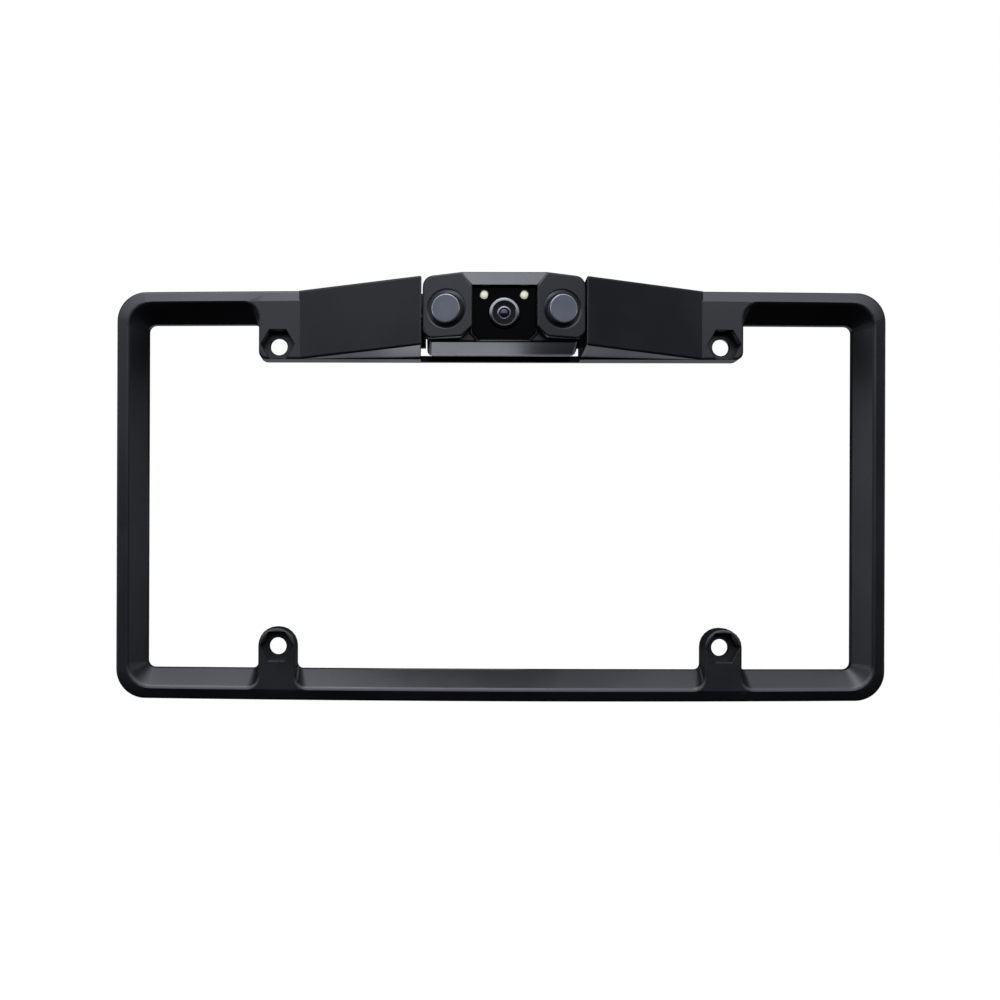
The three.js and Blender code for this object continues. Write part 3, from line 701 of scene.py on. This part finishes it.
front = combine(barrel_blank(), brick(-40, 40, -5, split + 0.05, 40, 100))
combine(front, chin(), nose(), brow(), pod(-1), pod(1), operation="UNION")
inside = brick(-11.2, 11.2, 12, nose_front - 2, axis_z - 9.2, axis_z + 12)
combine(inside, barrel_hollow(), operation="UNION")
for side in (-1, 1):
    pod_room = brick(side * 11, side * 28, 22, 31, axis_z - 8, axis_z + 11)
    combine(inside, pod_room, operation="UNION")
combine(front, inside)
lens_hole, led_hole = lens_radius + 0.2, led_radius + 0.25
combine(front, disc_stack("hole", 0, lens_z, [(lens_hole, 25), (lens_hole, 50)], 64))
for side in (-1, 1):
    levels = [(led_hole, 25), (led_hole, 50)]
    combine(front, disc_stack("hole", side * led_x, led_z, levels, 32))
    levels = [(bore, -9), (bore, -dish_lip), (dish_floor, -dish_lip)]
    levels += [(dish_floor, -dish_depth - 0.15), (dish_floor + 0.15, -dish_depth)]
    levels += [(dish_rim - 0.3, -0.25), (dish_rim + 0.1, -0.04)]
    levels += [(dish_rim + 0.9, 0.1), (dish_rim + 0.9, 6)]
    combine(front, toward_sensor(disc_stack("dish", 0, 0, levels, 96), side))
front.name = front.data.name = "front_housing_shell"
shade(front, 26)
housing_finish.on(front)
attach(front, "camera_module")
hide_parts("front_housing")

# ---------------------------------------------------------------------------
# Boards, ribbon and plugs
# The electronics inside the housing: a camera board and a lamp board in front,
# the main board behind them, a terminal board on each sensor, and the wiring.
# ---------------------------------------------------------------------------
mask = Finish("solder_mask")
board_grid = {"Vector": mask.place(), "Scale": 420.0}
copper = mask.node("ShaderNodeTexBrick", {"offset": 0.35}, board_grid, 1)
film = mask.noise(2.5, 3)
mask.surface(
    Base_Color=mask.mix(0.6 * copper + 0.3 * film, (0.006, 0.05, 0.02, 1), (0.02, 0.13, 0.055, 1)),
    Roughness=0.28 + 0.2 * film,
    Normal=mask.relief(copper, 0.03),
)
carried(mask, 0.08, "camera_board", "led_board", "main_board")
carried(mask, 0.08, "sensor_terminal_board_left", "sensor_terminal_board_right")

chip = Finish("chip_moulding")
sparkle = chip.noise(0.15, 2, 0.7)
chip.surface(
    Base_Color=chip.mix(sparkle, (0.009, 0.009, 0.01, 1), (0.02, 0.02, 0.022, 1)),
    Roughness=0.5 + 0.15 * sparkle,
    Normal=chip.relief(sparkle, 0.01),
)
carried(chip, 0.1, "processor_chip", "image_sensor", "lens_holder")

nylon = Finish("plug_nylon")
waxy = nylon.noise(1.2, 3)
nylon.surface(
    Base_Color=nylon.mix(waxy, (0.62, 0.58, 0.47, 1), (0.75, 0.71, 0.6, 1)),
    Roughness=0.4 + 0.15 * waxy,
    Normal=nylon.relief(waxy, 0.02),
)
carried(nylon, 0.1, "ribbon_socket_main", "ribbon_socket_camera")
carried(nylon, 0.1, "sensor_plug_left", "sensor_plug_right")

ribbon = Finish("ribbon_film")
track_pitch = {"Vector": ribbon.place(), "Scale": 320.0}
tracks = ribbon.node("ShaderNodeTexWave", {"bands_direction": "X"}, track_pitch, 1)
ribbon.surface(
    Base_Color=ribbon.mix(tracks, (0.42, 0.17, 0.03, 1), (0.55, 0.29, 0.07, 1)),
    Roughness=0.3 + 0.1 * tracks,
    Normal=ribbon.relief(tracks, 0.02),
)
carried(ribbon, 0, "camera_ribbon")

jacket = Finish("lead_jacket")
print_marks = jacket.noise(0.9, 3)
jacket.surface(
    Base_Color=jacket.mix(print_marks, (0.12, 0.01, 0.01, 1), (0.2, 0.025, 0.02, 1)),
    Roughness=0.42 + 0.2 * print_marks,
    Normal=jacket.relief(print_marks, 0.02),
)
carried(jacket, 0, "sensor_lead_left", "sensor_lead_right")

# ---------------------------------------------------------------------------
# Camera window
# A polished black acrylic pane with two cut corners, glued to the block
# between the pods. The lens and two lamps look out through its holes.
# ---------------------------------------------------------------------------
def window_pane():
    """The pane, with softened edges."""
    corners = cut_corners(9.2, 12.2, axis_z - 11.3, axis_z - 8.3, axis_z + 9.1, 0.5)
    levels = [(axis_depth + 16.6, -0.15), (axis_depth + 16.75, 0)]
    levels += [(window_depth - back, -inset) for inset, back in rounding(0.3, 4)]
    return stacked("window_pane", corners, levels)


def countersunk(x, z, radius, sides):
    """A cutter for a hole with a small bevel at the front."""
    bevel = 0.25
    levels = [(radius, 28), (radius, window_depth - bevel)]
    levels += [(radius + bevel, window_depth), (radius + bevel, 50)]
    return disc_stack("hole", x, z, levels, sides)


pane = combine(window_pane(), countersunk(0, lens_z, lens_hole, 96))
for side in (-1, 1):
    combine(pane, countersunk(side * led_x, led_z, led_radius + 0.2, 48))
shade(pane)
gloss = Finish("polished_black")
ripple = gloss.noise(9, 2)
dust = gloss.noise(0.8, 4, 0.6)
gloss.surface(
    Base_Color=gloss.mix(ripple, (0.001, 0.001, 0.0013, 1), (0.0018, 0.0018, 0.0022, 1)),
    Roughness=0.05 + 0.05 * dust.between(0.5, 0.8),
    Normal=gloss.relief(ripple, 0.01),
    IOR=1.49,
    Specular_IOR_Level=0.03,
)
gloss.on(pane)
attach(pane, "camera_module")
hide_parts("camera_window")

# ---------------------------------------------------------------------------
# Lens barrel, retaining ring and lenses
# A black chromed barrel with a bright bevelled rim, an anodised ring inside it
# with light-trap steps, a small coated dome and a second lens behind.
# ---------------------------------------------------------------------------
def from_axis(levels):
    """(radius, depth) levels whose depths are given from the tilt axis."""
    return [(radius, axis_depth + depth) for radius, depth in levels]


tube_back = [(2.2, 10.6), (3.4, 10.6), (3.4, 7.8), (4.4, 7.8), (4.4, 12.6)]
tube_rim = [(lens_radius, 12.6), (lens_radius, 18.75), (5.75, 18.87), (4.8, 19.22), (4.7, 19.2)]
tube_bore = [(4.6, 19.05), (4.4, 18.9), (4.4, 17.4), (4.3, 17.4), (4.3, 14.2), (2.2, 14.2)]


def ring_solid(name, x, z, levels):
    """A turned solid with a hole: the profile goes right round the section."""
    made = disc_stack(name, x, z, levels + levels[:1], 96)
    cut_caps = bmesh.new()
    cut_caps.from_mesh(made.data)
    caps = [face for face in cut_caps.faces if len(face.verts) > 4]
    bmesh.ops.delete(cut_caps, geom=caps, context="FACES_ONLY")
    bmesh.ops.remove_doubles(cut_caps, verts=cut_caps.verts, dist=1e-7)
    bmesh.ops.recalc_face_normals(cut_caps, faces=cut_caps.faces)
    cut_caps.to_mesh(made.data)
    cut_caps.free()
    return shade(made)


lens_tube = ring_solid("lens_tube", 0, lens_z, from_axis(tube_back + tube_rim + tube_bore))
anodised = Finish("anodised_black")
lathe = anodised.noise(0.2, 2)
steps_facing = anodised.node("ShaderNodeNewGeometry", output=1)
walls = anodised.node("ShaderNodeSeparateXYZ", None, {0: steps_facing}, 1).between(-0.985, -0.93)
blacking = anodised.mix(lathe, (0.003, 0.003, 0.004, 1), (0.006, 0.006, 0.007, 1))
anodised.surface(
    Base_Color=anodised.mix(walls, blacking, (0.2, 0.2, 0.21, 1)),
    Metallic=0.8 * walls,
    Roughness=0.3 + 0.1 * lathe - 0.12 * walls,
    Normal=anodised.relief(lathe, 0.004),
    Specular_IOR_Level=0.12,
)
rolled = Finish("black_chrome")
buffing = rolled.noise(0.3, 2)
rolled.surface(
    Base_Color=rolled.mix(buffing, (0.13, 0.13, 0.14, 1), (0.2, 0.2, 0.21, 1)),
    Roughness=0.12 + 0.08 * buffing,
    Normal=rolled.relief(buffing, 0.003),
    Metallic=1.0,
)
rolled.on(lens_tube)
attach(lens_tube, "camera_module")
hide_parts("lens_barrel")

trap_wall = [(2.0, 17.45), (4.38, 17.45), (4.38, 18.9), (4.1, 18.9), (4.05, 18.5)]
trap_steps = [(3.6, 18.5), (3.55, 18.2), (3.1, 18.2), (3.05, 17.95), (2.7, 17.95)]
trap_lip = [(2.65, 18.1), (2.1, 18.35), (2.0, 18.3)]
trap_ring = ring_solid("light_trap_ring", 0, lens_z, from_axis(trap_wall + trap_steps + trap_lip))
anodised.on(trap_ring)
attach(trap_ring, "camera_module")
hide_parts("lens_retaining_ring")


def dome(name, x, z, radius, back, rim, peak, sides=64):
    """A lens or lamp: straight sides and a domed front, with depths from the tilt axis."""
    steps, tip = 12, 0.02
    levels = [(radius, back), (radius, rim)]
    for k in range(1, steps + 1):
        angle = math.pi / 2 * k / steps
        levels.append((max(radius * math.cos(angle), tip), rim + (peak - rim) * math.sin(angle)))
    return shade(disc_stack(name, x, z, from_axis(levels), sides), 40)


objective = dome("objective_dome", 0, lens_z, 1.95, 14.4, 17.6, 18.5)
coated = Finish("coated_glass")
bloom = coated.noise(1.5, 2)
coated.surface(
    Base_Color=coated.mix(bloom, (0.004, 0.005, 0.012, 1), (0.01, 0.008, 0.02, 1)),
    Roughness=0.03 + 0.03 * bloom,
    Normal=coated.relief(bloom, 0.002),
    IOR=1.52,
)
coated.on(objective)
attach(objective, "camera_module")
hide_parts("front_lens")
carried(coated, 0, "rear_lens")

# ---------------------------------------------------------------------------
# Lamps
# Two warm-white lamps with domed clear ends, soldered to their own board and
# standing a little proud of the window.
# ---------------------------------------------------------------------------
lamp = Finish("lamp_dome")
milk = lamp.noise(0.7, 2)
lamp.surface(
    Base_Color=lamp.mix(milk, (0.74, 0.72, 0.6, 1), (0.86, 0.85, 0.74, 1)),
    Roughness=0.18 + 0.12 * milk,
    Normal=lamp.relief(milk, 0.01),
    Emission_Color=lamp.mix(milk, (0.8, 0.79, 0.62, 1), (0.9, 0.89, 0.74, 1)),
    Emission_Strength=0.45,
)
for side, name in ((-1, "left"), (1, "right")):
    led = dome("lamp_" + name, side * led_x, led_z, led_radius - 0.1, 14.1, 18.0, 19.0, 48)
    lamp.on(led)
    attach(led, "camera_module")
    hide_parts("led_" + name)

# ---------------------------------------------------------------------------
# Parking sensors
# Round ultrasonic cups with a satin grey face, each in a rubber sleeve that
# sits in a shallow dish of the pod.
# ---------------------------------------------------------------------------
face_paint = Finish("sensor_paint")
spray = face_paint.noise(0.5, 3, 0.6)
mottle = face_paint.noise(6, 3)
face_normal = face_paint.node("ShaderNodeNewGeometry", output=1)
facing = face_paint.node("ShaderNodeSeparateXYZ", None, {0: face_normal}, 1)
worn_rim = facing.between(-0.93, -0.72)
darker, lighter = (0.082, 0.088, 0.108, 1), (0.1, 0.107, 0.13, 1)
paint = face_paint.mix(mottle.between(0.3, 0.7), darker, lighter)
face_paint.surface(
    Base_Color=face_paint.mix(worn_rim, paint, (0.75, 0.77, 0.8, 1)),
    Roughness=0.34 + 0.06 * mottle - 0.12 * worn_rim,
    Normal=face_paint.relief(spray, 0.008),
    Metallic=0.9 * worn_rim,
)
for side, name in ((-1, "left"), (1, "right")):
    levels = [(cup_radius - 0.8, -7), (cup_radius, -7)]
    levels += [(cup_radius - inset, cup_proud - back) for inset, back in rounding(0.5, 8)]
    levels += [(1.5, cup_proud + 0.02)]
    cup = shade(toward_sensor(disc_stack("sensor_face_" + name, 0, 0, levels, 96), side))
    face_paint.on(cup)
    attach(cup, "camera_module")
    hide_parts("sensor_cup_" + name)
carried(seal_rubber, 0.12, "sensor_sleeve_left", "sensor_sleeve_right")

# ---------------------------------------------------------------------------
# Studio
# A white surround, a pale floor well below, a key box overhead, a front box, a
# strip on each side and a small card behind the chin. None is on the object.
# ---------------------------------------------------------------------------
camera_data = bpy.data.cameras.new("camera")
camera_data.lens = 62.26
camera_data.sensor_width = 36.0
camera_data.shift_x = 0.1127
camera_data.shift_y = 0.0901
camera_data.clip_start = 0.01
camera_data.clip_end = 20
camera = bpy.data.objects.new("camera", camera_data)
camera.location = Vector((-37.0, -700.0, -37.7)) * MM
yaw, level_sight, roll = math.radians(0.65), math.radians(90), math.radians(0.2)
turned = Matrix.Rotation(yaw, 4, "Z") @ Matrix.Rotation(level_sight, 4, "X")
camera.rotation_euler = (turned @ Matrix.Rotation(roll, 4, "Z")).to_euler()
bpy.context.scene.collection.objects.link(camera)
bpy.context.scene.camera = camera


def soft_light(name, place, aim, size, power):
    """A cool white area light, aimed at a place on the part."""
    data = bpy.data.lights.new(name, "AREA")
    data.shape = "RECTANGLE"
    data.size, data.size_y = size
    data.energy = power
    data.color = (0.86, 0.93, 1.0)
    made = bpy.data.objects.new(name, data)
    made.location = Vector(place)
    made.rotation_euler = (Vector(aim) - Vector(place)).to_track_quat("-Z", "Y").to_euler()
    made.visible_camera = False
    bpy.context.scene.collection.objects.link(made)


soft_light("low_card", (-0.016, 0.07, -0.014), (-0.016, -0.03, 0.056), (0.062, 0.06), 0.02)
soft_light("key", (-0.1, -0.34, 1.02), (0, 0, 0.03), (0.5, 0.4), 2.7)
soft_light("front_box", (-0.05, -0.76, 0.8), (0, 0, 0.06), (0.5, 0.13), 0.7)
soft_light("left_strip", (-0.92, -0.22, 0.12), (0, 0, 0.05), (0.08, 0.5), 0.6)
soft_light("right_strip", (0.93, -0.18, 0.12), (0, 0, 0.05), (0.08, 0.5), 0.5)

world = bpy.data.worlds.new("surround")
world.use_nodes = True
air = Finish("surround", world.node_tree)
direction = air.node("ShaderNodeTexCoord", output=0)
across = air.node("ShaderNodeSeparateXYZ", None, {0: direction}, 0)
forward = -1.0 * air.node("ShaderNodeSeparateXYZ", None, {0: direction}, 1)
upward = air.node("ShaderNodeSeparateXYZ", None, {0: direction}, 2)
in_front = forward.between(-0.3, 0.2)
off_middle = across + 0.07
lobe = off_middle * off_middle
head_on = 2.1 * upward.between(0.045, 0.3) * (1 - lobe.between(0.0, 0.85))
at_side = upward.between(-0.15, 0.5) * (0.34 - 0.06 * across.between(-0.5, 0.5))
front_light = 0.01 + head_on + at_side
rear_light = 0.02 + 0.45 * (1 - upward.between(-0.3, 0.0)) * upward.between(-0.6, -0.3)
level = in_front * front_light + (1 - in_front) * rear_light
seen = air.node("ShaderNodeLightPath", output=0)
strength = seen + (1 - seen) * level
tint = air.mix(seen, (0.93, 0.96, 1.1, 1), (1, 1, 1, 1))
air.plug(world.node_tree.nodes["Background"], {"Color": tint, "Strength": strength})
bpy.context.scene.world = world
bpy.context.scene.view_settings.view_transform = "Standard"

floor_mesh = bpy.data.meshes.new("floor")
reach, drop = 3.0, -0.6
near_side = [(-reach, -reach, drop), (reach, -reach, drop)]
far_side = [(reach, reach, drop), (-reach, reach, drop)]
floor_mesh.from_pydata(near_side + far_side, [], [(0, 1, 2, 3)])
floor = bpy.data.objects.new("floor", floor_mesh)
bpy.context.scene.collection.objects.link(floor)
floor.visible_glossy = False
floor.visible_diffuse = False
paper = Finish("pale_paper")
fibre = paper.noise(3, 3)
paper.surface(
    Base_Color=paper.mix(fibre, (0.86, 0.86, 0.86, 1), (0.9, 0.9, 0.9, 1)),
    Roughness=0.9,
    Emission_Color=(1, 1, 1, 1),
    Emission_Strength=0.35,
)
paper.on(floor)
